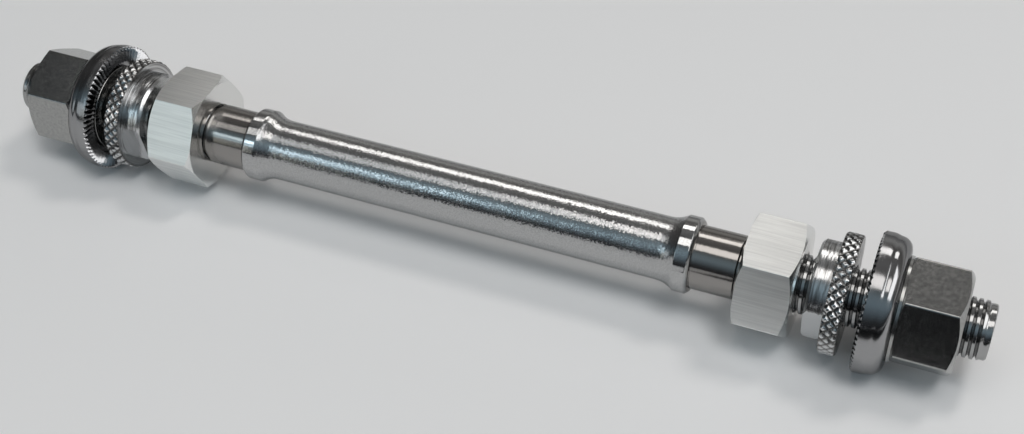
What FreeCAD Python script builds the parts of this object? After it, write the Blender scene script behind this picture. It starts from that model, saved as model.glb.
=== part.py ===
"""Hollow hub axle with its alloy nuts, knurled locknuts, captive washers and track nuts.

The axle lies along X with its middle at the origin, and Z is up.  Millimetres throughout.
Each nut and washer is drawn from its own inner face outwards and then placed along the axle.
"""
import FreeCAD, Part
import math
import os
import Sketcher

doc = FreeCAD.newDocument("hollow_hub_axle")

# Driving dimensions: name and value, one row of the sheet each.
SIZES = (
    # axle
    ("axle_length", 164.4),
    ("thread_diameter", 9.0),
    ("thread_clearance", 0.05),
    ("axle_bore", 5.0),
    ("axle_bore_chamfer", 0.5),
    ("axle_tip_chamfer", 0.3),
    ("tube_diameter", 10.0),
    ("seat_diameter", 10.0),
    ("seat_length", 7.7),
    ("seat_chamfer", 0.3),
    ("shoulder_spacing", 76.2),
    ("shoulder_diameter", 12.0),
    ("shoulder_width", 2.4),
    ("shoulder_chamfer", 0.5),
    ("taper_length", 2.8),
    # shared by the nuts
    ("countersink", 0.45),
    ("chamfer_angle", 30.0),
    ("chamfer_reach", 2.0),
    # alloy nut
    ("alloy_flats", 17.0),
    ("alloy_length", 8.4),
    ("alloy_inner_face", 17.4),
    ("alloy_outer_face", 16.4),
    ("left_alloy_turn", 1.7),
    ("right_alloy_turn", 15.5),
    # knurled locknut
    ("left_locknut_gap", 2.3),
    ("right_locknut_gap", 1.8),
    ("boss_diameter", 15.0),
    ("boss_length", 3.0),
    ("boss_chamfer", 0.45),
    ("boss_flats", 13.0),
    ("flange_diameter", 18.6),
    ("flange_width", 2.6),
    ("flange_chamfer", 0.25),
    ("knurl_count", 36),
    ("knurl_slant", 45.0),
    ("knurl_land", 0.4),
    ("knurl_depth", 0.3),
    ("left_locknut_turn", 103.0),
    ("right_locknut_turn", 108.0),
    # captive washer
    ("left_dropout_gap", 2.35),
    ("right_dropout_gap", 2.5),
    ("washer_diameter", 21.5),
    ("washer_thickness", 4.6),
    ("washer_rim", 2.6),
    ("washer_bevel", 0.4),
    ("washer_dome_face", 16.6),
    ("washer_hole", 12.8),
    ("washer_recess", 16.6),
    ("washer_recess_depth", 1.5),
    ("serration_count", 72),
    ("serration_land", 0.06),
    ("serration_depth", 0.55),
    ("serration_overrun", 1.0),
    # track nut
    ("nut_flats", 15.0),
    ("nut_length", 8.8),
    ("nut_outer_face", 14.2),
    ("nut_flange_diameter", 16.2),
    ("nut_flange_width", 0.6),
    ("nut_washer_gap", 0.05),
    ("collar_clearance", 0.05),
    ("collar_lip_diameter", 14.6),
    ("collar_lip_width", 0.7),
    ("collar_lip_play", 0.2),
    ("left_nut_turn", 30.0),
    ("right_nut_turn", 11.7),
)

sheet = doc.addObject("Spreadsheet::Sheet", "Size")
for row, (alias, value) in enumerate(SIZES, start=1):
    sheet.set("A%d" % row, alias)
    sheet.set("B%d" % row, str(value))
    sheet.setAlias("B%d" % row, alias)
doc.recompute()

# Lengths that several pieces share, as expressions in the sheet's names.
SHOULDER = "Size.shoulder_spacing / 2"
SEAT_END = SHOULDER + " + Size.seat_length"
THREAD_HOLE = "(Size.thread_diameter / 2 + Size.thread_clearance)"
HOLE_MOUTH = "(Size.thread_diameter / 2 + Size.thread_clearance + Size.countersink)"
SLOPE = "tan(Size.chamfer_angle * 1 deg)"
SIDES = (("left", -1), ("right", 1))

# Sketcher's numbers for the origin and the two sketch axes, and a length that counts as no distance.
ORIGIN = -1
ACROSS_AXIS = -1
UP_AXIS = -2
CLOSE = 1e-6

# How far a cutting tool stands clear of the surface that it cuts.
LIFT = 0.03

# Any turn other than zero gives a new placement its axis; the sheet then sets the real angle.
SOME_TURN = 1.0


def locknut_place(side):
    """Where a locknut's inner face lies, measured outwards from the axle's middle."""
    return SEAT_END + " + Size.alloy_length + Size.%s_locknut_gap" % side


def washer_place(side):
    """Where a washer's serrated face lies, measured outwards from the axle's middle."""
    return locknut_place(side) + " + Size.boss_length + Size.flange_width + Size.%s_dropout_gap" % side


def plane(body, role):
    """The body's own origin plane with the given role."""
    return [f for f in body.Origin.OriginFeatures if f.Role == role][0]


def value_of(expression):
    """The present value of an expression in the sheet's names."""
    return float(sheet.evalExpression(expression))


def new_body(label):
    """An empty body whose label names its file."""
    body = doc.addObject("PartDesign::Body", label)
    body.Label = label
    return body


def new_sketch(body, role, name):
    """A sketch on one of the body's origin planes."""
    sketch = body.newObject("Sketcher::SketchObject", name)
    sketch.AttachmentSupport = (plane(body, role), [""])
    sketch.MapMode = "FlatFace"
    return sketch


def draw(sketch, corners, arc_from=None, smooth_at=None):
    """Closed outline through corners, each a pair of expressions: across and up.

    The side that leaves corner arc_from is an arc, level where it meets corner smooth_at.
    """
    first = sketch.GeometryCount
    points = [FreeCAD.Vector(value_of(across), value_of(up), 0) for across, up in corners]
    count = len(points)
    ends = []
    for number, start in enumerate(points):
        end = points[(number + 1) % count]
        if number == arc_from:
            sketch.addGeometry(level_arc(start, end, points[smooth_at]), False)
        else:
            sketch.addGeometry(Part.LineSegment(start, end), False)
        runs_forward = sketch.getPoint(first + number, 1).distanceToPoint(start) < CLOSE
        ends.append((1, 2) if runs_forward else (2, 1))
    for number in range(count):
        after = (number + 1) % count
        smooth = arc_from is not None and after == smooth_at
        kind = "Tangent" if smooth else "Coincident"
        sketch.addConstraint(Sketcher.Constraint(kind, first + number, ends[number][1],
                                                 first + after, ends[after][0]))
    for number, (across, up) in enumerate(corners):
        pin_down(sketch, "DistanceX", first + number, ends[number][0], across, UP_AXIS)
        pin_down(sketch, "DistanceY", first + number, ends[number][0], up, ACROSS_AXIS)


def level_arc(start, end, smooth):
    """The arc from start to end that is level at smooth, which is one of the two."""
    other = end if smooth == start else start
    reach = other - smooth
    radius = reach.dot(reach) / (2 * reach.y)
    centre = smooth + FreeCAD.Vector(0, radius, 0)
    outward = (start + end) * 0.5 - centre
    outward.normalize()
    return Part.Arc(start, centre + outward * abs(radius), end)


def pin_down(sketch, kind, side, end, expression, axis):
    """Hold one end of a side at a bound distance from the origin, or on the axis if that is zero."""
    if expression == "0":
        sketch.addConstraint(Sketcher.Constraint("PointOnObject", side, end, axis))
        return
    index = sketch.addConstraint(Sketcher.Constraint(kind, ORIGIN, 1, side, end, value_of(expression)))
    sketch.setExpression("Constraints[%d]" % index, expression)


def outwards(sign, corners):
    """The corners with their first length turned to the left or right side of the axle."""
    return [(across if across == "0" else "%d * (%s)" % (sign, across), up) for across, up in corners]


def turn(body, sketch, kind, name):
    """Revolve a sketch about the axle, adding or cutting by kind."""
    feature = body.newObject("PartDesign::" + kind, name)
    feature.Profile = sketch
    feature.ReferenceAxis = (sketch, ["H_Axis"])
    feature.Angle = 360.0
    body.Tip = feature
    return feature


def hexagon_bar(body, sign, flats, start, length):
    """A hexagonal bar about the axle, with its inner end at start."""
    bar = body.newObject("PartDesign::AdditivePrism", "HexagonBar")
    bar.Polygon = 6
    bar.AttachmentSupport = (plane(body, "YZ_Plane"), [""])
    bar.MapMode = "FlatFace"
    bar.setExpression("Circumradius", "(%s) / 2 / cos(30 deg)" % flats)
    bar.setExpression("Height", length)
    near_end = start if sign > 0 else "-(%s) - (%s)" % (start, length)
    bar.setExpression("AttachmentOffset.Base.z", near_end)
    body.Tip = bar
    return bar


def end_chamfer(flats, face, end, inwards):
    """Corners of the ring that a lathe takes off the end of a hexagonal bar."""
    rim = "((%s) / 2 / cos(30 deg) + Size.chamfer_reach)" % flats
    run = "(%s - (%s) / 2) * %s" % (rim, face, SLOPE)
    return [(end, "(%s) / 2" % face), (end, rim), ("%s %s %s" % (end, inwards, run), rim)]


def threaded_hole(start, end):
    """Corners of a hole for the axle's thread, countersunk at both ends."""
    return [(start, "0"), (start, HOLE_MOUTH), ("%s + Size.countersink" % start, THREAD_HOLE),
            ("%s - Size.countersink" % end, THREAD_HOLE), (end, HOLE_MOUTH), (end, "0")]


def cut_around(label, blank, notch, count):
    """The blank less copies of one notch, set evenly around the axle."""
    copies = []
    for number in range(count):
        copy = notch.copy()
        copy.rotate(FreeCAD.Vector(0, 0, 0), FreeCAD.Vector(1, 0, 0), 360.0 * number / count)
        copies.append(copy)
    notches = doc.addObject("Part::Feature", label + "_notches")
    notches.Shape = Part.Compound(copies)
    piece = doc.addObject("Part::Cut", label)
    piece.Label = label
    piece.Base = blank
    piece.Tool = notches
    piece.Refine = False
    return piece


def set_place(piece, sign, place, angle):
    """Put a piece along the axle, on its own side, turned about the axle by an angle in degrees."""
    piece.Placement.Rotation = FreeCAD.Rotation(FreeCAD.Vector(1, 0, 0), SOME_TURN)
    piece.setExpression("Placement.Base.x", "%d * (%s)" % (sign, place))
    piece.setExpression("Placement.Rotation.Angle", "%s * 1 deg" % angle)


def make_axle():
    """The axle: one turned piece, drawn as its right half and mirrored."""
    body = new_body("axle")
    half = "Size.axle_length / 2"
    bore = "Size.axle_bore / 2"
    thread = "Size.thread_diameter / 2"
    seat = "Size.seat_diameter / 2"
    collar = "Size.shoulder_diameter / 2"
    taper_top = SHOULDER + " - Size.shoulder_width"
    taper_foot = taper_top + " - Size.taper_length"
    outline = [
        ("0", bore),
        (half + " - Size.axle_bore_chamfer", bore),
        (half, bore + " + Size.axle_bore_chamfer"),
        (half, thread + " - Size.axle_tip_chamfer"),
        (half + " - Size.axle_tip_chamfer", thread),
        (SEAT_END, thread),
        (SEAT_END, seat + " - Size.seat_chamfer"),
        (SEAT_END + " - Size.seat_chamfer", seat),
        (SHOULDER, seat),
        (SHOULDER, collar + " - Size.shoulder_chamfer"),
        (SHOULDER + " - Size.shoulder_chamfer", collar),
        (taper_top, collar),
        (taper_foot, "Size.tube_diameter / 2"),
        ("0", "Size.tube_diameter / 2"),
    ]
    sketch = new_sketch(body, "XY_Plane", "HalfSection")
    draw(sketch, outline, arc_from=11, smooth_at=12)
    half_turned = turn(body, sketch, "Revolution", "HalfTurned")
    doc.recompute()
    mirrored = body.newObject("PartDesign::Mirrored", "BothHalves")
    mirrored.Originals = [half_turned]
    mirrored.MirrorPlane = (plane(body, "YZ_Plane"), [""])
    body.Tip = mirrored
    return body


def make_alloy_nut(side, sign):
    """Aluminium hexagon nut that stands against the end of the bearing seat."""
    body = new_body(side + "_alloy_nut")
    end = "Size.alloy_length"
    hexagon_bar(body, sign, "Size.alloy_flats", "0", end)
    sketch = new_sketch(body, "XY_Plane", "LatheCuts")
    draw(sketch, outwards(sign, end_chamfer("Size.alloy_flats", "Size.alloy_inner_face", "0", "+")))
    draw(sketch, outwards(sign, end_chamfer("Size.alloy_flats", "Size.alloy_outer_face", end, "-")))
    draw(sketch, outwards(sign, threaded_hole("0", end)))
    turn(body, sketch, "Groove", "Turned")
    set_place(body, sign, SEAT_END, "Size.%s_alloy_turn" % side)
    return body


def knurl_groove(sign, slant):
    """One straight V groove across the flange's rim, slanted one way or the other."""
    radius = value_of("Size.flange_diameter / 2")
    middle = sign * value_of("Size.boss_length + Size.flange_width / 2")
    reach = value_of("Size.flange_width")
    angle = value_of("Size.knurl_slant")
    depth = value_of("Size.knurl_depth")
    pitch = 2 * math.pi * radius / value_of("Size.knurl_count") * math.cos(math.radians(angle))
    half = (pitch - value_of("Size.knurl_land")) / 2 * (depth + LIFT) / depth
    corners = [FreeCAD.Vector(-reach, radius - depth, 0), FreeCAD.Vector(-reach, radius + LIFT, half),
               FreeCAD.Vector(-reach, radius + LIFT, -half)]
    groove = Part.Face(Part.makePolygon(corners + corners[:1])).extrude(FreeCAD.Vector(2 * reach, 0, 0))
    groove.rotate(FreeCAD.Vector(0, 0, 0), FreeCAD.Vector(0, 1, 0), slant * angle)
    groove.translate(FreeCAD.Vector(middle, 0, 0))
    return groove


def make_locknut(side, sign):
    """Knurled locknut: a round boss with two spanner flats, and a flange that meets the frame."""
    label = side + "_locknut"
    body = new_body(label + "_blank")
    boss = "Size.boss_diameter / 2"
    flange = "Size.flange_diameter / 2"
    step = "Size.boss_length"
    end = "Size.boss_length + Size.flange_width"
    outline = [
        ("Size.countersink", THREAD_HOLE),
        (end + " - Size.countersink", THREAD_HOLE),
        (end, HOLE_MOUTH),
        (end, flange + " - Size.flange_chamfer"),
        (end + " - Size.flange_chamfer", flange),
        (step + " + Size.flange_chamfer", flange),
        (step, flange + " - Size.flange_chamfer"),
        (step, boss),
        ("Size.boss_chamfer", boss),
        ("0", boss + " - Size.boss_chamfer"),
        ("0", HOLE_MOUTH),
    ]
    sketch = new_sketch(body, "XY_Plane", "Section")
    draw(sketch, outwards(sign, outline))
    turn(body, sketch, "Revolution", "Turned")
    flats = new_sketch(body, "YZ_Plane", "SpannerFlats")
    for up in ("", "-"):
        flat = "%sSize.boss_flats / 2" % up
        clear = "%sSize.boss_diameter" % up
        draw(flats, [("-Size.boss_diameter", flat), ("Size.boss_diameter", flat),
                     ("Size.boss_diameter", clear), ("-Size.boss_diameter", clear)])
    doc.recompute()
    milled = body.newObject("PartDesign::Pocket", "MilledFlats")
    milled.Profile = flats
    milled.setExpression("Length", step)
    milled.Reversed = sign > 0
    body.Tip = milled
    count = int(value_of("Size.knurl_count"))
    half_knurled = cut_around(label + "_half_knurled", body, knurl_groove(sign, 1), count)
    locknut = cut_around(label, half_knurled, knurl_groove(sign, -1), count)
    set_place(locknut, sign, locknut_place(side), "Size.%s_locknut_turn" % side)
    return locknut


def serration_notch(sign):
    """One radial V notch in the washer's face, narrowing towards the axle."""
    rim = value_of("Size.washer_diameter / 2")
    depth = value_of("Size.serration_depth")
    pitch = 2 * math.pi * rim / value_of("Size.serration_count")
    half = (pitch - value_of("Size.serration_land")) / 2 * (depth + LIFT) / depth
    corners = [FreeCAD.Vector(sign * depth, rim, 0), FreeCAD.Vector(-sign * LIFT, rim, half),
               FreeCAD.Vector(-sign * LIFT, rim, -half)]
    ends = []
    past_rim = 1 + value_of("Size.serration_overrun") / rim
    for reach in (value_of("Size.washer_hole / Size.washer_diameter"), past_rim):
        scaled = [corner * reach for corner in corners]
        ends.append(Part.makePolygon(scaled + scaled[:1]))
    return Part.makeLoft(ends, True, True)


def make_washer(side, sign):
    """Captive washer: polished domed rim, radial serrations, and a recess for the nut's lip."""
    label = side + "_washer"
    body = new_body(label + "_blank")
    hole = "Size.washer_hole / 2"
    recess = "Size.washer_recess / 2"
    rim = "Size.washer_diameter / 2"
    outline = [
        ("Size.washer_recess_depth", hole),
        ("Size.washer_thickness", hole),
        ("Size.washer_thickness", "Size.washer_dome_face / 2"),
        ("Size.washer_rim", rim),
        ("Size.washer_bevel", rim),
        ("0", rim + " - Size.washer_bevel"),
        ("0", recess),
        ("Size.washer_recess_depth", recess),
    ]
    sketch = new_sketch(body, "XY_Plane", "Section")
    draw(sketch, outwards(sign, outline), arc_from=2, smooth_at=3)
    turn(body, sketch, "Revolution", "Turned")
    washer = cut_around(label, body, serration_notch(sign), int(value_of("Size.serration_count")))
    set_place(washer, sign, washer_place(side), "0")
    return washer


def make_track_nut(side, sign):
    """Hexagon track nut with a thin flange, and a collar whose lip keeps the washer on."""
    body = new_body(side + "_track_nut")
    collar = "(Size.washer_hole / 2 - Size.collar_clearance)"
    lip = "Size.collar_lip_diameter / 2"
    lip_back = "Size.washer_recess_depth - Size.collar_lip_play"
    lip_front = lip_back + " - Size.collar_lip_width"
    flange_front = "Size.washer_thickness + Size.nut_washer_gap"
    flange_back = flange_front + " + Size.nut_flange_width"
    end = flange_back + " + Size.nut_length"
    hexagon_bar(body, sign, "Size.nut_flats", flange_back, "Size.nut_length")
    sketch = new_sketch(body, "XY_Plane", "CollarSection")
    outline = [
        (lip_front, "0"),
        (flange_back, "0"),
        (flange_back, "Size.nut_flange_diameter / 2"),
        (flange_front, "Size.nut_flange_diameter / 2"),
        (flange_front, collar),
        (lip_back, collar),
        (lip_back, lip),
        (lip_front, lip),
    ]
    draw(sketch, outwards(sign, outline))
    turn(body, sketch, "Revolution", "Collar")
    cuts = new_sketch(body, "XY_Plane", "LatheCuts")
    draw(cuts, outwards(sign, end_chamfer("Size.nut_flats", "Size.nut_outer_face", end, "-")))
    draw(cuts, outwards(sign, threaded_hole(lip_front, end)))
    turn(body, cuts, "Groove", "Turned")
    set_place(body, sign, washer_place(side), "Size.%s_nut_turn" % side)
    return body


pieces = [make_axle()]
for side, sign in SIDES:
    pieces.append(make_alloy_nut(side, sign))
    pieces.append(make_locknut(side, sign))
    pieces.append(make_washer(side, sign))
    pieces.append(make_track_nut(side, sign))
doc.recompute()

for item in doc.Objects:
    if "Invalid" in item.State or "Error" in item.State:
        raise RuntimeError("%s did not build: %s" % (item.Label, item.State))

os.makedirs("parts", exist_ok=True)
for piece in pieces:
    if not piece.Shape.isValid() or len(piece.Shape.Solids) != 1:
        raise RuntimeError("%s is not one valid solid" % piece.Label)
    piece.Shape.exportStep("parts/%s.step" % piece.Label)
    print(piece.Label, round(piece.Shape.Volume, 2))
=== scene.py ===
"""Hollow hub axle: turned steel axle with alloy nuts, knurled locknuts, captive washers and track nuts.

The scene is in metres in the frame of the solids: the axle lies along X, its middle at the origin,
and Z is up.  Angles go round the axle from +Y, away from the camera, over the top and down towards the
camera.  The sizes of pieces are named in millimetres, and their angles in degrees.
"""
import math

import bmesh
import bpy
import numpy as np
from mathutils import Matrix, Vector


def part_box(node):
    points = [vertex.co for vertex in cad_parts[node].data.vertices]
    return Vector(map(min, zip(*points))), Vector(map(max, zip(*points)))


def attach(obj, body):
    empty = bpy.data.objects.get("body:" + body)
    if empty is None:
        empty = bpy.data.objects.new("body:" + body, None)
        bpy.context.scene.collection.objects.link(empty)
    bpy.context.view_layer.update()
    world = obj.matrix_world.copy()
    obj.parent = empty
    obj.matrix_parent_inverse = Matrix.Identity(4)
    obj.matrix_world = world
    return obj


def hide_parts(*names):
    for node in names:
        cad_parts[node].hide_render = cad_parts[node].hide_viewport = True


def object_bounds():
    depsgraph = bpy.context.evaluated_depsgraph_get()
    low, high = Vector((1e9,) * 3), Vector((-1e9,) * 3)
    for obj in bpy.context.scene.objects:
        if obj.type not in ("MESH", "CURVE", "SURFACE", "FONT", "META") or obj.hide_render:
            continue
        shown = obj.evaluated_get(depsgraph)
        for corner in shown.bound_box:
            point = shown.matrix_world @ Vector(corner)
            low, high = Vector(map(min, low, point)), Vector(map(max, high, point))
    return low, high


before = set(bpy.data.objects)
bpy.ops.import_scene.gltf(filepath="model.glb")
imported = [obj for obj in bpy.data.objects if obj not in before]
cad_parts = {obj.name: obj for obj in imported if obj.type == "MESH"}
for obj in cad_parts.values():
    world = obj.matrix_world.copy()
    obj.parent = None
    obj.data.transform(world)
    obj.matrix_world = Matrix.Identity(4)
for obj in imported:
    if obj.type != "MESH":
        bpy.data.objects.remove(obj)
solid_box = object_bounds()

# Axle: one hollow steel bar turned between centres.  The tube is polished with a fine cloth, the two
# bearing seats are ground bright against their shoulders, and both ends carry a 9 x 1 mm thread.
MM = 0.001
COLUMNS = 128
TINY = 1e-9
MERGE_DISTANCE = 0.0002
SHARP_ANGLE = 28
THREAD_PITCH = 1.0
THREAD_CREST = 4.5
THREAD_ROOT = 4.0
TIP_SLOPE = 1.6
EXTRA_TURNS = 3
SEAT_END = 45.8
AXLE_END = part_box("axle")[1].x / MM
AXLE_EDGE = 0.07
BORE_RADIUS = 2.5
BORE_CHAMFER = 0.5
LEAD_LENGTH = 0.9
LEAD_RADIUS = 4.22
# One turn of the thread's section: place along the pitch, and 1 at the crest or 0 at the root.
THREAD_SECTION = ((0.00, 0.95), (0.04, 1.0), (0.44, 1.0), (0.48, 0.95),
                  (0.68, 0.06), (0.74, 0.0), (0.80, 0.06))
# Half of the outline from the middle of the axle outwards: place along it, and radius.
HALF_OUTLINE = (
    (0.0, 5.0), (26.0, 5.0), (32.9, 5.0),  # tube
    (33.5, 5.045), (34.1, 5.18), (34.7, 5.40), (35.2, 5.66),  # cove
    (35.7, 6.0), (37.6, 6.0), (38.1, 5.5),  # shoulder
    (38.1, 4.97), (38.35, 5.0), (44.85, 5.0),  # bearing seat
    (45.05, 4.65), (SEAT_END, 4.65), (SEAT_END, THREAD_ROOT),  # neck
)
# Where one finish goes over into the next, from the middle of the axle outwards.
POLISH_STARTS = (35.2, 35.8)
GRINDING_STARTS = (37.9, 38.1)
THREAD_STARTS = (45.6, 45.8)
TUBE_TONES = ((0.40, 0.40, 0.40), (0.50, 0.50, 0.50))
SEAT_TONE = (0.31, 0.296, 0.284)
THREAD_TONE = (0.38, 0.38, 0.38)


def softened(corners, size):
    """Corners (place, radius) with each one rounded by a short curve: the two points that lie a
    little way along its sides, and between them the middle of the parabola that touches both sides."""
    here = np.asarray(corners, float)
    towards = []
    for neighbour in (np.roll(here, 1, 0), np.roll(here, -1, 0)):
        side = neighbour - here
        length = np.maximum(np.linalg.norm(side, axis=1, keepdims=True), TINY)
        towards.append(here + side / length * np.minimum(size, 0.45 * length))
    middle = 0.25 * towards[0] + 0.5 * here + 0.25 * towards[1]
    return np.stack([towards[0], middle, towards[1]], 1).reshape(-1, 2)


def full_turn(count):
    """Evenly spaced angles of one turn: the number of each times a turn, divided by the count."""
    return np.arange(count) * 2 * math.pi / count


def around(places, radii, angles):
    """Points at the given places along the axle and radii from it: x is the place, and y and z are
    the radius times the cosine and sine of the angle.  Places and radii may change with the angle."""
    places, radii, angles = np.broadcast_arrays(places, radii, angles)
    return np.stack([places, radii * np.cos(angles), radii * np.sin(angles)], -1)


def ring_quads(rows, columns, closed):
    """Quads between neighbouring rows of a grid whose columns close around the axle.  A closed
    section also joins its last row to its first."""
    row, column = np.meshgrid(np.arange(rows if closed else rows - 1), np.arange(columns), indexing="ij")
    after, beside = (row + 1) % rows, (column + 1) % columns
    quads = (row * columns + column, row * columns + beside,
             after * columns + beside, after * columns + column)
    return np.stack(quads, -1).reshape(-1, 4)


def threaded_surface(start, end):
    """Helical surface: a row of the section moves one pitch along the axle in each turn, so the row
    that leaves the last column meets the row one pitch further on at the first.  Places are held
    between the two ends, where cones bring the crests down to the roots.  Near the axle's own end the
    thread fades into a plain lead, over half the lead's length, so that a nut starts straight."""
    section = np.array(THREAD_SECTION)
    step = len(section)
    turns = int(math.ceil((end - start) / THREAD_PITCH)) + EXTRA_TURNS
    before = EXTRA_TURNS / 2 * THREAD_PITCH
    first = (np.arange(turns)[:, None] + section[:, 0]) * THREAD_PITCH + start - before
    height = np.tile(section[:, 1], turns)
    angles = full_turn(COLUMNS)
    free = first.reshape(-1, 1) + THREAD_PITCH * angles / (2 * math.pi)
    places = np.clip(free, start, end)
    depth = (THREAD_CREST - THREAD_ROOT) * height
    limit = TIP_SLOPE * np.minimum(places - start, end - places)
    lead = np.clip((AXLE_END - np.abs(places) - LEAD_LENGTH) / LEAD_LENGTH * 2, 0, 1)
    depth = lead * depth[:, None] + (1 - lead) * (LEAD_RADIUS - THREAD_ROOT)
    radii = THREAD_ROOT + np.minimum(depth, limit)
    row, column = np.meshgrid(np.arange(turns * step - step - 1), np.arange(COLUMNS), indexing="ij")
    beside = (column + 1) % COLUMNS
    shift = np.where(column == COLUMNS - 1, step, 0)
    quads = (row * COLUMNS + column, (row + shift) * COLUMNS + beside,
             (row + 1 + shift) * COLUMNS + beside, (row + 1) * COLUMNS + column)
    quads = np.stack(quads, -1).reshape(-1, 4)
    corners = places.reshape(-1)[quads]
    quads = quads[corners.max(1) - corners.min(1) > TINY]
    return around(places, radii, angles).reshape(-1, 3), quads


def make_piece(name, parts, node, material):
    """One closed piece from parts, each points in millimetres with their quads.  Points that fall
    together are merged, faces are turned outwards by the sign of the volume, wide faces keep their
    own shading beside narrow edges, and the piece takes the place of its solid."""
    points = np.concatenate([part[0] for part in parts]) * MM
    offsets = np.cumsum([0] + [len(part[0]) for part in parts[:-1]])
    quads = np.concatenate([part[1] + offset for part, offset in zip(parts, offsets)])
    a, b, c, d = (points[quads[:, number]] for number in range(4))
    volume = np.einsum("ij,ij->i", a, np.cross(b, c)) + np.einsum("ij,ij->i", a, np.cross(c, d))
    if volume.sum() < 0:
        quads = quads[:, ::-1]
    mesh = bpy.data.meshes.new(name)
    mesh.from_pydata(points.tolist(), [], quads.tolist())
    grid = bmesh.new()
    grid.from_mesh(mesh)
    bmesh.ops.remove_doubles(grid, verts=grid.verts, dist=MERGE_DISTANCE * MM)
    loose = [vertex for vertex in grid.verts if not vertex.link_faces]
    bmesh.ops.delete(grid, geom=loose, context="VERTS")
    grid.to_mesh(mesh)
    grid.free()
    mesh.shade_smooth()
    mesh.set_sharp_from_angle(angle=math.radians(SHARP_ANGLE))
    mesh.materials.append(material)
    piece = bpy.data.objects.new(name, mesh)
    bpy.context.scene.collection.objects.link(piece)
    piece.modifiers.new("wide_faces", "WEIGHTED_NORMAL").keep_sharp = True
    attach(piece, node)
    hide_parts(node)


def add_node(owner, kind, links=(), **settings):
    """A new node of a material or world with its settings, and with values or sockets on its inputs."""
    made = owner.node_tree.nodes.new(kind)
    for key, value in settings.items():
        setattr(made, key, value)
    for socket, source in links:
        if hasattr(source, "is_output"):
            owner.node_tree.links.new(source, made.inputs[socket])
        else:
            made.inputs[socket].default_value = source
    return made


def drive(node, socket, source):
    """Links a socket to one of a node's inputs, in place of the value or link that it had."""
    node.id_data.links.new(source, node.inputs[socket])


def calculate(owner, operation, *values):
    """The result of one operation on numbers."""
    return add_node(owner, "ShaderNodeMath", enumerate(values), operation=operation).outputs[0]


def calculate_vector(owner, operation, *values):
    """The result of one operation on vectors."""
    return add_node(owner, "ShaderNodeVectorMath", enumerate(values), operation=operation).outputs[0]


def spread(owner, value, low, high, start=0.3, end=0.7):
    """A value from start to end mapped to low to high.  Noise lies mostly between 0.3 and 0.7."""
    limits = [("From Min", start), ("From Max", end), ("To Min", low), ("To Max", high)]
    return add_node(owner, "ShaderNodeMapRange", [("Value", value), *limits]).outputs["Result"]


def between(owner, distance, low, high, limits):
    """Low before and high past a narrow band of distances, given by its two limits in millimetres."""
    return spread(owner, distance, low, high, limits[0] * MM, limits[1] * MM)


def blend(owner, share, low, high):
    """A number that goes from low to high with the share."""
    return add_node(owner, "ShaderNodeMix", [(0, share), (2, low), (3, high)]).outputs[0]


def blend_tones(owner, share, low, high):
    """A colour that goes from low to high with the share.  Each is a socket, or red, green and blue."""
    low, high = (tone if hasattr(tone, "is_output") else (*tone, 1.0) for tone in (low, high))
    inputs = [(0, share), (6, low), (7, high)]
    return add_node(owner, "ShaderNodeMix", inputs, data_type="RGBA").outputs[2]


def new_metal(name, edge_tint=1.0):
    """A metal, with a grey that tints it at grazing angles.  Returns it and its shader."""
    material = bpy.data.materials.new(name)
    material.use_nodes = True
    shader = material.node_tree.nodes["Principled BSDF"]
    shader.inputs["Metallic"].default_value = 1.0
    shader.inputs["Specular Tint"].default_value = (edge_tint, edge_tint, edge_tint, 1.0)
    return material, shader


def own_point(material):
    """Each point of a piece, in the frame of the solids."""
    return add_node(material, "ShaderNodeTexCoord").outputs["Object"]


def axle_distances(material):
    """Each point's place along the axle, its two distances across it, and its distance from it, which
    is the length of the vector across."""
    along, across, up = add_node(material, "ShaderNodeSeparateXYZ", [(0, own_point(material))]).outputs
    flat = add_node(material, "ShaderNodeCombineXYZ", [(1, across), (2, up)]).outputs[0]
    length = add_node(material, "ShaderNodeVectorMath", [(0, flat)], operation="LENGTH")
    return along, across, up, length.outputs["Value"]


def lathe_vector(material, fine, slow):
    """Coordinates in which tool marks run round the axle: place and distance from the axle change
    fast, at fine cycles a metre, and the way round changes slowly."""
    along, across, up, radius = axle_distances(material)
    way_round = calculate(material, "ADD", across, up)
    rates = ((along, fine), (radius, fine), (way_round, slow))
    scaled = [calculate(material, "MULTIPLY", value, rate) for value, rate in rates]
    return add_node(material, "ShaderNodeCombineXYZ", enumerate(scaled)).outputs[0]


def noise(material, vector, scale=1.0, detail=3.0):
    """Soft noise from 0 to 1 on the given coordinates."""
    inputs = [("Vector", vector), ("Scale", scale), ("Detail", detail)]
    return add_node(material, "ShaderNodeTexNoise", inputs).outputs["Fac"]


def draw_out(material, shader, amount, turn):
    """Highlights drawn out across fine parallel marks: round the axle at a turn of 0, where the marks
    run along it, and along the axle at a quarter turn, where they run round it."""
    shader.inputs["Anisotropic"].default_value = amount
    shader.inputs["Anisotropic Rotation"].default_value = turn
    across = add_node(material, "ShaderNodeTangent", direction_type="RADIAL", axis="X")
    drive(shader, "Tangent", across.outputs[0])


def sanded(material, cells, amount):
    """Normals tipped at random in small cells, as a fine abrasive leaves them: to the surface's normal
    is added the cell's random vector, from minus to plus half the amount."""
    inputs = [("Vector", own_point(material)), ("Scale", cells)]
    cell = add_node(material, "ShaderNodeTexVoronoi", inputs).outputs["Color"]
    middle = calculate_vector(material, "SUBTRACT", cell, (0.5, 0.5, 0.5))
    tip = add_node(material, "ShaderNodeVectorMath", [(0, middle), ("Scale", amount)], operation="SCALE")
    facing = add_node(material, "ShaderNodeNewGeometry").outputs["Normal"]
    tipped = calculate_vector(material, "ADD", facing, tip.outputs[0])
    return calculate_vector(material, "NORMALIZE", tipped)


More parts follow.
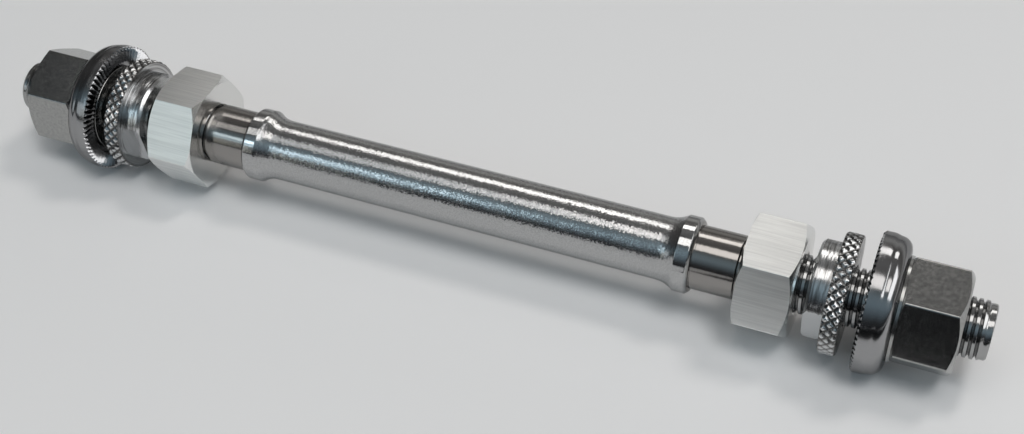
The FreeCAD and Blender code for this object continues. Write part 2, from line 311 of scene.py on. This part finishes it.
def press_in(material, shader, heights, normal=None):
    """Bump from several heights, each (value, strength, depth in millimetres), laid one over the
    other, and over a normal where one is given."""
    for value, strength, depth in heights:
        links = [("Height", value), ("Strength", strength), ("Distance", depth * MM)]
        if normal is not None:
            links.append(("Normal", normal))
        normal = add_node(material, "ShaderNodeBump", links).outputs["Normal"]
    drive(shader, "Normal", normal)


def axle_steel():
    """Turned steel: lines round the axle and a fine grain break up the highlights.  Seen from the
    middle outwards, the tube is satin, the shoulders are polished, the ground seats are bright and a
    little browner, and the threads are duller."""
    material, shader = new_metal("axle_steel", edge_tint=0.7)
    draw_out(material, shader, amount=0.6, turn=0.25)
    split = add_node(material, "ShaderNodeSeparateXYZ", [(0, own_point(material))])
    out = calculate(material, "ABSOLUTE", split.outputs["X"])
    polished = between(material, out, 0.0, 1.0, POLISH_STARTS)
    ground = between(material, out, 0.0, 1.0, GRINDING_STARTS)
    threaded = between(material, out, 0.0, 1.0, THREAD_STARTS)
    patches = noise(material, lathe_vector(material, fine=300.0, slow=90.0))
    roughness = spread(material, patches, low=0.15, high=0.22)
    for share, finish in ((polished, 0.12), (ground, 0.17), (threaded, 0.18)):
        roughness = blend(material, share, roughness, finish)
    drive(shader, "Roughness", roughness)
    grain = noise(material, own_point(material), scale=5000.0, detail=1.0)
    tone = blend_tones(material, spread(material, grain, 0.0, 1.0, start=0.35, end=0.65), *TUBE_TONES)
    for share, finish in ((ground, SEAT_TONE), (threaded, THREAD_TONE)):
        tone = blend_tones(material, share, tone, finish)
    drive(shader, "Base Color", tone)
    lines = noise(material, lathe_vector(material, fine=2600.0, slow=260.0))
    facets = sanded(material, 6400.0, between(material, out, 0.11, 0.02, POLISH_STARTS))
    press_in(material, shader, [(lines, 0.2, 0.02)], facets)
    return material


# Each corner becomes three points, except the two in the plain tube and the last, at the thread's root.
rounded = softened(HALF_OUTLINE, AXLE_EDGE)[5:-3]
half = np.concatenate([HALF_OUTLINE[:2], rounded, HALF_OUTLINE[-1:]])
outline = np.concatenate([half[:0:-1] * (-1, 1), half])
bore = np.array([(AXLE_END, THREAD_ROOT), (AXLE_END, BORE_RADIUS + BORE_CHAMFER),
                 (AXLE_END - BORE_CHAMFER, BORE_RADIUS)])
bore = np.concatenate([bore, bore[::-1] * (-1, 1)])
axle_parts = []
for section in (outline, bore):
    grid = around(section[:, :1], section[:, 1:], full_turn(COLUMNS))
    axle_parts.append((grid.reshape(-1, 3), ring_quads(len(section), COLUMNS, False)))
for start, end in ((-AXLE_END, -SEAT_END), (SEAT_END, AXLE_END)):
    axle_parts.append(threaded_surface(start, end))
make_piece("turned_axle", axle_parts, "axle", axle_steel())

# Alloy nuts: hexagonal aluminium bar, 17 mm across its flats, drilled, tapped and faced in a lathe.
# Each stands against the end of a bearing seat and keeps the bearing on.
ALLOY_FLATS = 17.0
ALLOY_CORNER = 0.25
ALLOY_INNER_FACE = 17.4
ALLOY_OUTER_FACE = 16.4
ALLOY_TONES = ((0.75, 0.755, 0.745), (0.87, 0.875, 0.86))
CHAMFER_SLOPE = math.tan(math.radians(30))
HOLE_RADIUS = 4.55
COUNTERSINK = 0.45
HOLE_BAND = 1.0


def hexagon_angles(turn, flat_steps=8, corner_steps=8, corner=0.035):
    """Angles round a hexagon whose first corner is at turn degrees: evenly along each flat, and
    close together round each corner."""
    reach = math.pi / 6
    flat = np.linspace(-reach + corner, reach - corner, flat_steps, endpoint=False)
    bend = np.linspace(reach - corner, reach + corner, corner_steps, endpoint=False)
    sector = np.concatenate([flat, bend])
    return (np.arange(6)[:, None] * math.pi / 3 + sector + reach).reshape(-1) + math.radians(turn)


def hexagon_radius(angles, turn, flats, bend):
    """Distance from the axle to a hexagon with rounded corners.  On a flat it is half the width over
    flats divided by the cosine of the angle from the flat's middle, and near a corner it is the far
    side of a circle of the bend's radius that touches both flats."""
    reach = math.pi / 6
    off = (angles - math.radians(turn)) % (2 * reach) - reach
    apothem = flats / 2
    centre = (apothem - bend) / math.cos(reach)
    beta = reach - np.abs(off)
    straight = apothem / np.cos(off)
    curved = centre * np.cos(beta) + np.sqrt(np.maximum(bend ** 2 - (centre * np.sin(beta)) ** 2, 0))
    limit = math.atan((apothem - bend) * math.tan(reach) / apothem)
    return np.where(np.abs(off) < limit, straight, curved)


def turned_down(radii, face):
    """How far from the end a lathe's cone, which starts at the rim of a face of the given diameter,
    meets the given radii."""
    return np.maximum(radii - face / 2, 0) * CHAMFER_SLOPE


def drilled(rows, end):
    """The rows of a nut with those of its countersunk hole added at both ends."""
    wide = HOLE_RADIUS + COUNTERSINK
    return [(COUNTERSINK, HOLE_RADIUS), (0, wide), *rows, (end, wide), (end - COUNTERSINK, HOLE_RADIUS)]


def stacked(rows, sign, start, angles):
    """Closed surface from rows (place, radius), either of which may change round the axle.  Places
    count outwards from start on the side that sign gives."""
    places = np.stack([np.broadcast_to(place, angles.shape) for place, radius in rows])
    radii = np.stack([np.broadcast_to(radius, angles.shape) for place, radius in rows])
    grid = around(start + sign * places, radii, angles)
    return grid.reshape(-1, 3), ring_quads(len(rows), len(angles), True)


def inner_place(node, sign):
    """Where a node's end nearest the axle's middle lies, in millimetres."""
    low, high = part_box(node)
    return (low.x if sign > 0 else high.x) / MM


def length_of(node):
    """A node's length along the axle, in millimetres."""
    low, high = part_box(node)
    return (high.x - low.x) / MM


def stock_vector(material, fine, slow):
    """Coordinates in which lines run along the axle, as on drawn bar: fast across, slow along."""
    inputs = [("Vector", own_point(material)), ("Scale", (slow, fine, fine))]
    return add_node(material, "ShaderNodeMapping", inputs).outputs[0]


def end_share(material):
    """1 on faces square to the axle and 0 on faces along it: the size of the normal's part along X."""
    facing = add_node(material, "ShaderNodeTexCoord").outputs["Normal"]
    split = add_node(material, "ShaderNodeSeparateXYZ", [(0, facing)])
    return calculate(material, "ABSOLUTE", split.outputs["X"])


def satin_alloy():
    """Machined aluminium: drawn streaks along the flats, in tone and in height, a few handling marks,
    and smoother turned rings on the ends."""
    material, shader = new_metal("satin_alloy")
    draw_out(material, shader, amount=0.9, turn=0.0)
    drawn = noise(material, stock_vector(material, fine=3600.0, slow=90.0), detail=4.0)
    rings = noise(material, lathe_vector(material, fine=2200.0, slow=60.0))
    handled = noise(material, own_point(material), scale=1400.0, detail=5.0)
    ends = end_share(material)
    drive(shader, "Roughness", spread(material, ends, low=0.29, high=0.16, start=0.2, end=0.9))
    streaks = spread(material, drawn, 0.0, 1.0, start=0.36, end=0.64)
    faced = blend(material, ends, streaks, 0.55)
    drive(shader, "Base Color", blend_tones(material, faced, *ALLOY_TONES))
    marks = blend(material, ends, drawn, rings)
    press_in(material, shader, [(marks, 0.4, 0.04), (handled, 0.3, 0.03)])
    return material


alloy = satin_alloy()
for side, sign, turn in (("left", -1, 1.7), ("right", 1, 15.5)):
    node = side + "_alloy_nut"
    end = length_of(node)
    angles = hexagon_angles(turn)
    sides = hexagon_radius(angles, turn, ALLOY_FLATS, ALLOY_CORNER)
    rows = drilled([
        (0, HOLE_RADIUS + HOLE_BAND),
        (0, np.minimum(sides, ALLOY_INNER_FACE / 2)),
        (turned_down(sides, ALLOY_INNER_FACE), sides),
        (end / 2, sides),
        (end - turned_down(sides, ALLOY_OUTER_FACE), sides),
        (end, np.minimum(sides, ALLOY_OUTER_FACE / 2)),
    ], end)
    surface = stacked(rows, sign, inner_place(node, sign), angles)
    make_piece(node + "_machined", [surface], node, alloy)

# Locknuts: turned steel, plated bright.  A round boss with two milled spanner flats faces inwards, and
# the flange that bears on the frame has a diamond knurl rolled into its rim.
BOSS_RADIUS = 7.5
BOSS_LENGTH = 3.0
BOSS_FLAT = 6.5
BOSS_CHAMFER = 0.45
FLANGE_RADIUS = 9.3
FLANGE_WIDTH = 2.6
FLANGE_EDGE = 0.25
KNURL_COUNT = 36
KNURL_DEPTH = 0.3
KNURL_SLANT = 45.0
KNURL_SLOPE = 0.65
KNURL_STEPS = 24
KNURL_ROWS = 27
KNURL_MARGIN = 0.1
RING_PITCH = 0.5
RING_DEPTH = 0.035
LEAST_COSINE = 1e-3
PLATE_TONE = (0.62, 0.625, 0.63)
# The dark tone is painted shade, laid into the knurl's grooves and between the turned rings.
GROOVE_SHADE_TONE = (0.16, 0.155, 0.15)
# Distances from the axle: where plate goes over to painted shade and back in the knurl, where the
# painted shade in the rings of the boss starts and that on the flange's faces ends, and where the
# crushed lands start.
GROOVE_SHADE_RADII = (8.92, 8.98, 9.06, 9.24)
RINGS_START = (7.40, 7.46)
RINGS_END = (8.85, 8.90)
CRUSHED_STARTS = (8.9, 9.0)


def boss_radius(angles, turn, turned):
    """Distance from the axle to the boss: the radius it was turned to, or on the two flats the flat's
    distance divided by the cosine of the angle from the middle of the flat."""
    off = np.abs((angles - math.radians(turn) + math.pi / 2) % math.pi - math.pi / 2)
    return np.minimum(turned, BOSS_FLAT / np.maximum(np.cos(off), LEAST_COSINE))


def knurl_height(places, angles):
    """Height of the diamond knurl from 0 in its grooves to 1 on its lands: the lower of two sawtooth
    waves that slant to left and right across the rim, cut off flat past the share that slopes."""
    pitch = 2 * math.pi / KNURL_COUNT
    lean = places * math.tan(math.radians(KNURL_SLANT)) / FLANGE_RADIUS
    waves = [2 * np.abs(((angles + way * lean) / pitch) % 1.0 - 0.5) for way in (1, -1)]
    return np.minimum(np.minimum(*waves) / KNURL_SLOPE, 1.0)


def colour_ramp(owner, value, stops):
    """A colour that follows a value from 0 to 1 through stops, each a place and a colour."""
    ramp = add_node(owner, "ShaderNodeValToRGB", [(0, value)])
    elements = ramp.color_ramp.elements
    while len(elements) < len(stops):
        elements.new(0.5)
    for element, (place, colour) in zip(elements, stops):
        element.position = place
        element.color = (*colour, 1.0)
    return ramp.outputs["Color"]


def plated_steel(name, roughness):
    """Bright plating over turned steel, a little smoother or rougher in patches.  Returns the metal and
    its shader."""
    material, shader = new_metal(name, edge_tint=0.5)
    patches = noise(material, lathe_vector(material, fine=400.0, slow=150.0))
    drive(shader, "Roughness", spread(material, patches, roughness - 0.05, roughness + 0.07))
    return material, shader


def shade_painted_plate():
    """Plating with shade painted into the grooves of the knurl and between the turned rings: the colour
    goes from plate to the painted shade and back to plate with the distance from the axle, and is darker
    in broken lines round the axle, painted shade that breaks up the rings' highlights.  The knurl's
    lands are crushed, so their normals are tipped in small cells."""
    material, shader = plated_steel("bright_plate", 0.18)
    radius = axle_distances(material)[3]
    first, last = GROOVE_SHADE_RADII[0], GROOVE_SHADE_RADII[-1]
    places = [(distance - first) / (last - first) for distance in GROOVE_SHADE_RADII]
    tones = (PLATE_TONE, GROOVE_SHADE_TONE, GROOVE_SHADE_TONE, PLATE_TONE)
    # Painted shade in the knurl's grooves: plate, then the dark tone, then plate again, outwards from
    # the axle.
    grooves = colour_ramp(material, between(material, radius, 0.0, 1.0, (first, last)),
                          list(zip(places, tones)))
    rings = noise(material, lathe_vector(material, fine=2300.0, slow=230.0))
    turned = calculate(material, "MULTIPLY", between(material, radius, 0.0, 0.8, RINGS_START),
                       between(material, radius, 1.0, 0.0, RINGS_END))
    lines = spread(material, rings, 1.0, 0.0, start=0.36, end=0.56)
    # Painted shade in broken lines between the turned rings of the boss and the flange's faces.
    painted_shade = calculate(material, "MULTIPLY", turned, lines)
    drive(shader, "Base Color", blend_tones(material, painted_shade, grooves, GROOVE_SHADE_TONE))
    crushed = sanded(material, 2800.0, between(material, radius, 0.0, 0.16, CRUSHED_STARTS))
    press_in(material, shader, [(rings, 0.5, 0.08)], crushed)
    return material


bright_plate = shade_painted_plate()
for side, sign, turn in (("left", -1, 13.0), ("right", 1, 18.0)):
    node = side + "_locknut"
    angles = full_turn(KNURL_COUNT * KNURL_STEPS)
    boss = boss_radius(angles, turn, BOSS_RADIUS)
    end = BOSS_LENGTH + FLANGE_WIDTH
    face = FLANGE_RADIUS - KNURL_DEPTH - KNURL_MARGIN
    rows = [(0, np.minimum(boss, BOSS_RADIUS - BOSS_CHAMFER)),
            (np.maximum(boss - BOSS_RADIUS + BOSS_CHAMFER, 0), boss)]
    first, last = BOSS_CHAMFER + RING_PITCH / 2, BOSS_LENGTH - RING_PITCH / 4
    for number, place in enumerate(np.arange(first, last, RING_PITCH / 2)):
        depth = RING_DEPTH if number % 2 == 0 else 0
        rows.append((place, boss_radius(angles, turn, BOSS_RADIUS - depth)))
    rows += [(BOSS_LENGTH, boss), (BOSS_LENGTH, face)]
    for place in np.linspace(BOSS_LENGTH, end, KNURL_ROWS):
        edge = min(place - BOSS_LENGTH, end - place)
        height = knurl_height(place - BOSS_LENGTH - FLANGE_WIDTH / 2, angles)
        outer = FLANGE_RADIUS - KNURL_DEPTH * (1 - height)
        rows.append((place, np.minimum(outer, FLANGE_RADIUS - FLANGE_EDGE + edge)))
    rows = drilled([*rows, (end, face)], end)
    surface = stacked(rows, sign, inner_place(node, sign), angles)
    make_piece(node + "_knurled", [surface], node, bright_plate)

# Washers: steel pressings that stay captive on their nuts.  The rim is domed and polished, and the
# face that grips the frame has radial serrations round a recess for the nut's lip.
WASHER_RADIUS = 10.75
WASHER_THICKNESS = 4.6
WASHER_RIM = 2.6
WASHER_BEVEL = 0.4
RIM_CROWN = 0.2
RIM_MARGIN = 0.15
WASHER_HOLE = 6.4
HOLE_EDGE = 0.1
WASHER_RECESS = 8.3
RECESS_DEPTH = 1.5
RECESS_EDGE = 0.05
SERRATIONS = 72
SERRATION_DEPTH = 0.55
SERRATION_LAND = 0.06
FACE_ROWS, BEVEL_ROWS, RIM_ROWS, DOME_ROWS = 6, 5, 9, 13
WASHER_TONE = (0.34, 0.34, 0.345)


def serrated_face(radii, angles):
    """Depth of the serrated face: V notches that deepen in step with the radius, or the rim's bevel
    where that lies deeper."""
    pitch = 2 * math.pi / SERRATIONS
    half = pitch / 2 * (1 - SERRATION_LAND / (pitch * WASHER_RADIUS))
    off = np.abs((angles + pitch / 2) % pitch - pitch / 2)
    notch = SERRATION_DEPTH * radii / WASHER_RADIUS * np.maximum(1 - off / half, 0)
    return np.maximum(notch, radii - WASHER_RADIUS + WASHER_BEVEL)


def washer_steel():
    """Plating in one tone, with faint turned lines round the axle."""
    material, shader = plated_steel("washer_plate", 0.14)
    shader.inputs["Base Color"].default_value = (*WASHER_TONE, 1.0)
    lines = noise(material, lathe_vector(material, fine=1900.0, slow=120.0))
    press_in(material, shader, [(lines, 0.5, 0.03)])
    return material


washer_plate = washer_steel()
for side, sign in (("left", -1), ("right", 1)):
    node = side + "_washer"
    tooth = 2 * math.pi / SERRATIONS
    land = SERRATION_LAND / WASHER_RADIUS / 2
    steps = np.array([0, tooth * 0.25, tooth / 2 - land, tooth / 2 + land, tooth * 0.75])
    angles = (np.arange(SERRATIONS)[:, None] * tooth + steps).reshape(-1)
    rows = [(RECESS_DEPTH + HOLE_EDGE, WASHER_HOLE), (RECESS_DEPTH, WASHER_HOLE + HOLE_EDGE),
            (RECESS_DEPTH, WASHER_RECESS - RECESS_EDGE), (RECESS_DEPTH - RECESS_EDGE, WASHER_RECESS)]
    bevel = WASHER_RADIUS - WASHER_BEVEL
    for radius in np.concatenate([np.linspace(WASHER_RECESS, bevel, FACE_ROWS),
                                  np.linspace(bevel, WASHER_RADIUS, BEVEL_ROWS)[1:]]):
        rows.append((serrated_face(radius, angles), radius))
    middle = (WASHER_BEVEL + WASHER_RIM) / 2
    for place in np.linspace(SERRATION_DEPTH + RIM_MARGIN, WASHER_RIM, RIM_ROWS)[:-1]:
        rows.append((place, WASHER_RADIUS - RIM_CROWN * max(place - middle, 0) ** 2))
    reach = WASHER_THICKNESS - WASHER_RIM
    crown = WASHER_RADIUS - RIM_CROWN * (WASHER_RIM - middle) ** 2
    drop = crown - WASHER_RECESS
    dome = (reach ** 2 + drop ** 2) / (2 * drop)
    for place in np.linspace(0, reach, DOME_ROWS):
        rows.append((WASHER_RIM + place, crown - dome + math.sqrt(dome ** 2 - place ** 2)))
    rows += [(WASHER_THICKNESS, WASHER_HOLE + HOLE_EDGE), (WASHER_THICKNESS - HOLE_EDGE, WASHER_HOLE)]
    surface = stacked(rows, sign, inner_place(node, sign), angles)
    make_piece(node + "_serrated", [surface], node, washer_plate)

# Track nuts: steel hexagon bar, 15 mm across its flats, tapped and chamfered.  A thin flange and a
# collar with a lip hold the washer, which turns freely while the nut is tightened.
NUT_FLATS = 15.0
NUT_CORNER = 0.45
NUT_FACE = 14.2
NUT_FLANGE_RADIUS = 8.1
NUT_FLANGE_WIDTH = 0.6
FLANGE_FRONT_EDGE = 0.08
FLANGE_BACK_EDGE = 0.1
WASHER_PLAY = 0.05
COLLAR_RADIUS = 6.35
LIP_RADIUS = 7.3
LIP_WIDTH = 0.7
LIP_FRONT_EDGE = 0.05
LIP_BACK_EDGE = 0.08
NUT_TONES = ((0.31, 0.31, 0.305), (0.41, 0.41, 0.40))


def nut_steel():
    """Satin plated steel: drawn lines along the flats, mottled by handling, and turned ends."""
    material, shader = new_metal("nut_steel")
    draw_out(material, shader, amount=0.4, turn=0.0)
    drawn = noise(material, stock_vector(material, fine=1500.0, slow=120.0))
    rings = noise(material, lathe_vector(material, fine=1600.0, slow=80.0))
    mottle = noise(material, own_point(material), scale=2000.0, detail=5.0)
    drive(shader, "Roughness", spread(material, mottle, low=0.16, high=0.2))
    drive(shader, "Base Color", blend_tones(material, spread(material, mottle, 0.0, 1.0), *NUT_TONES))
    marks = blend(material, end_share(material), drawn, rings)
    press_in(material, shader, [(marks, 0.3, 0.03), (mottle, 0.05, 0.05)])
    return material


steel = nut_steel()
for side, sign, turn in (("left", -1, 30.0), ("right", 1, 11.7)):
    node = side + "_track_nut"
    end = length_of(node)
    start = inner_place(node, sign)
    flange = sign * (inner_place(side + "_washer", sign) - start) + WASHER_THICKNESS + WASHER_PLAY
    back = flange + NUT_FLANGE_WIDTH
    back_radius = NUT_FLANGE_RADIUS - FLANGE_BACK_EDGE
    angles = hexagon_angles(turn)
    sides = hexagon_radius(angles, turn, NUT_FLATS, NUT_CORNER)
    rows = drilled([
        (0, LIP_RADIUS - LIP_FRONT_EDGE), (LIP_FRONT_EDGE, LIP_RADIUS),
        (LIP_WIDTH - LIP_BACK_EDGE, LIP_RADIUS), (LIP_WIDTH, LIP_RADIUS - LIP_BACK_EDGE),
        (LIP_WIDTH, COLLAR_RADIUS), (flange, COLLAR_RADIUS),
        (flange, NUT_FLANGE_RADIUS - FLANGE_FRONT_EDGE), (flange + FLANGE_FRONT_EDGE, NUT_FLANGE_RADIUS),
        (back - FLANGE_BACK_EDGE, NUT_FLANGE_RADIUS), (back, np.minimum(back_radius, sides)),
        (back + turned_down(sides, 2 * back_radius), sides),
        ((back + end) / 2, sides),
        (end - turned_down(sides, NUT_FACE), sides),
        (end, np.minimum(sides, NUT_FACE / 2)),
    ], end)
    make_piece(node + "_hexagon", [stacked(rows, sign, start, angles)], node, steel)

# Table: a pale painted top that the axle lies on.  A dark sheet in front of the right end, out of the
# picture, is seen only in the metal's reflections: a dark reflection painted into the metal there.
# Left, right, near and far side.
TABLE_SIDES = (-12.0, 12.0, -12.0, 12.0)
REFLECTION_SHEET_SIDES = (0.030, 0.30, -3.0, -0.045)
TABLE_TONE = (0.932, 0.924, 0.924)
REFLECTION_SHEET_TONE = (0.012, 0.012, 0.013)
REFLECTION_SHEET_HEIGHT = 0.0004


def flat_sheet(name, left, right, near, far, level, colour, roughness, shine):
    """A level rectangle of the stage, from its four sides, with a plain painted surface."""
    mesh = bpy.data.meshes.new(name)
    corners = [(left, near, level), (right, near, level), (right, far, level), (left, far, level)]
    mesh.from_pydata(corners, [], [(0, 1, 2, 3)])
    paint = bpy.data.materials.new(name)
    paint.use_nodes = True
    shader = paint.node_tree.nodes["Principled BSDF"]
    shader.inputs["Base Color"].default_value = (*colour, 1.0)
    shader.inputs["Roughness"].default_value = roughness
    shader.inputs["Specular IOR Level"].default_value = shine
    mesh.materials.append(paint)
    sheet = bpy.data.objects.new(name, mesh)
    bpy.context.scene.collection.objects.link(sheet)
    return sheet


table_level = solid_box[0].z
flat_sheet("table_top", *TABLE_SIDES, table_level, TABLE_TONE, roughness=0.7, shine=0.5)
# A painted dark reflection: hidden from the camera, from diffuse light and from shadows, shown only by
# the metal.
reflection_sheet = flat_sheet("dark_reflection_sheet", *REFLECTION_SHEET_SIDES, table_level + REFLECTION_SHEET_HEIGHT, REFLECTION_SHEET_TONE,
                   roughness=0.9, shine=0.0)
reflection_sheet.visible_camera = False
reflection_sheet.visible_diffuse = False
reflection_sheet.visible_shadow = False

# Light: a dim room with ceiling strips behind, a broad soft light overhead, a bluish window and pale
# walls to the left, and a large light off the right end.  Some lamps show only in the metal's
# reflections, and two light only the table, so that its shadows fall to the left and stay soft.

# Each lamp: degrees round the axle, width, distance from the axle, its left and right end along the
# axle, colour, radiance, and what it lights.
LAMPS = (
    ("ceiling_strip_far", 60, 0.22, 1.2, -0.70, -0.652, (1.0, 0.97, 0.94), 4.2, "metal"),
    ("ceiling_strip", 56, 0.30, 1.2, -0.60, -0.06, (1.0, 0.98, 0.95), 2.9, "metal"),
    ("ceiling_strip_end", 47, 0.30, 1.2, -0.06, 0.40, (1.0, 0.98, 0.95), 2.6, "metal"),
    ("broad_light", 105, 0.46, 1.2, -0.28, 0.60, (1.0, 0.97, 0.94), 2.1, "both"),
    ("broad_light_end", 105, 0.46, 1.2, -0.60, -0.28, (0.95, 0.98, 1.0), 0.75, "both"),
    ("far_lamp", 106, 0.46, 1.2, -0.71, -0.65, (1.0, 0.98, 0.95), 2.5, "both"),
    ("window", 143, 0.16, 1.2, -0.70, -0.52, (0.84, 0.96, 1.0), 2.3, "both"),
    ("window_surround", 146, 0.42, 1.21, -0.80, -0.40, (0.66, 0.88, 1.0), 0.9, "both"),
    ("pale_wall", 165, 0.50, 1.2, -0.77, -0.69, (0.98, 1.0, 0.90), 1.25, "both"),
    ("left_wall", 160, 0.50, 1.2, -1.7, -0.80, (0.90, 0.97, 1.0), 0.7, "both"),
    ("right_end_light", 95, 1.6, 1.3, 0.85, 2.3, (1.0, 1.0, 1.0), 2.4, "metal"),
    ("table_light", 112, 0.40, 1.2, 0.25, 0.55, (0.96, 0.985, 1.0), 9.3, "table"),
    ("back_light", 70, 0.25, 1.2, 0.25, 0.50, (1.0, 0.96, 0.92), 12.8, "table"),
)
# The room's own light from the far wall at 0 degrees, over the ceiling, to the near wall at 180.
ROOM = ((0, 0.24, 0.24, 0.24), (8, 0.30, 0.30, 0.30), (15, 0.46, 0.46, 0.45), (22, 0.40, 0.40, 0.39),
        (32, 0.16, 0.155, 0.15), (75, 0.20, 0.20, 0.20), (92, 0.12, 0.12, 0.12),
        (118, 0.13, 0.15, 0.16), (130, 0.24, 0.31, 0.35), (142, 0.24, 0.32, 0.37),
        (156, 0.14, 0.18, 0.21), (168, 0.05, 0.055, 0.06), (180, 0.02, 0.02, 0.022))
# Past the left end the room is dimmer: the part along X of directions where it is fully so and where
# it no longer is, and the share of light left there.
DIM_FULL, DIM_NONE, DIM_SHARE = -0.62, -0.46, 0.35


def soft_light(name, degrees, width, reach, left, right, colour, radiance, lights):
    """Flat lamp facing the axle at an angle round it and a distance from it, between two places along
    it.  Its power is the radiance times its area and pi."""
    lamp = bpy.data.lights.new(name, "AREA")
    lamp.shape = "RECTANGLE"
    lamp.size, lamp.size_y = right - left, width
    lamp.color = colour
    lamp.energy = radiance * lamp.size * lamp.size_y * math.pi
    item = bpy.data.objects.new(name, lamp)
    angle = math.radians(degrees)
    item.location = ((left + right) / 2, reach * math.cos(angle), reach * math.sin(angle))
    item.rotation_euler = (angle - math.pi / 2, 0, 0)
    item.visible_camera = False
    item.visible_diffuse = lights != "metal"
    item.visible_glossy = lights != "table"
    bpy.context.scene.collection.objects.link(item)


for lamp in LAMPS:
    soft_light(*lamp)

world = bpy.data.worlds.new("room")
bpy.context.scene.world = world
world.use_nodes = True
direction = add_node(world, "ShaderNodeTexCoord").outputs["Generated"]
along, across, up = add_node(world, "ShaderNodeSeparateXYZ", [(0, direction)]).outputs
share = spread(world, calculate(world, "ARCTAN2", up, across), 0.0, 1.0, start=0.0, end=math.pi)
room = world.node_tree.nodes["Background"]
drive(room, "Color", colour_ramp(world, share, [(degrees / 180, tone) for degrees, *tone in ROOM]))
drive(room, "Strength", spread(world, along, DIM_SHARE, 1.0, DIM_FULL, DIM_NONE))

# Camera: a normal lens above and in front of the right end, turned to the left and looking down.  Its
# place, angles and focal length, in pixels of the picture, come from a fit of the axle's outline.
CAMERA_PLACE = (0.07413, -0.16536, 0.14983)
CAMERA_DOWN = 40.38
CAMERA_TURN = 21.89
CAMERA_NEAR = 0.005
FOCAL_PIXELS = 1470.0
PICTURE_WIDTH = 1024.0
SENSOR = 36.0

view = bpy.data.cameras.new("camera")
view.sensor_fit = "HORIZONTAL"
view.sensor_width = SENSOR
view.lens = SENSOR * FOCAL_PIXELS / PICTURE_WIDTH
view.clip_start = CAMERA_NEAR
camera = bpy.data.objects.new("camera", view)
camera.location = CAMERA_PLACE
camera.rotation_euler = (math.radians(90 - CAMERA_DOWN), 0, math.radians(CAMERA_TURN))
bpy.context.scene.collection.objects.link(camera)
bpy.context.scene.camera = camera
bpy.context.scene.view_settings.view_transform = "Standard"
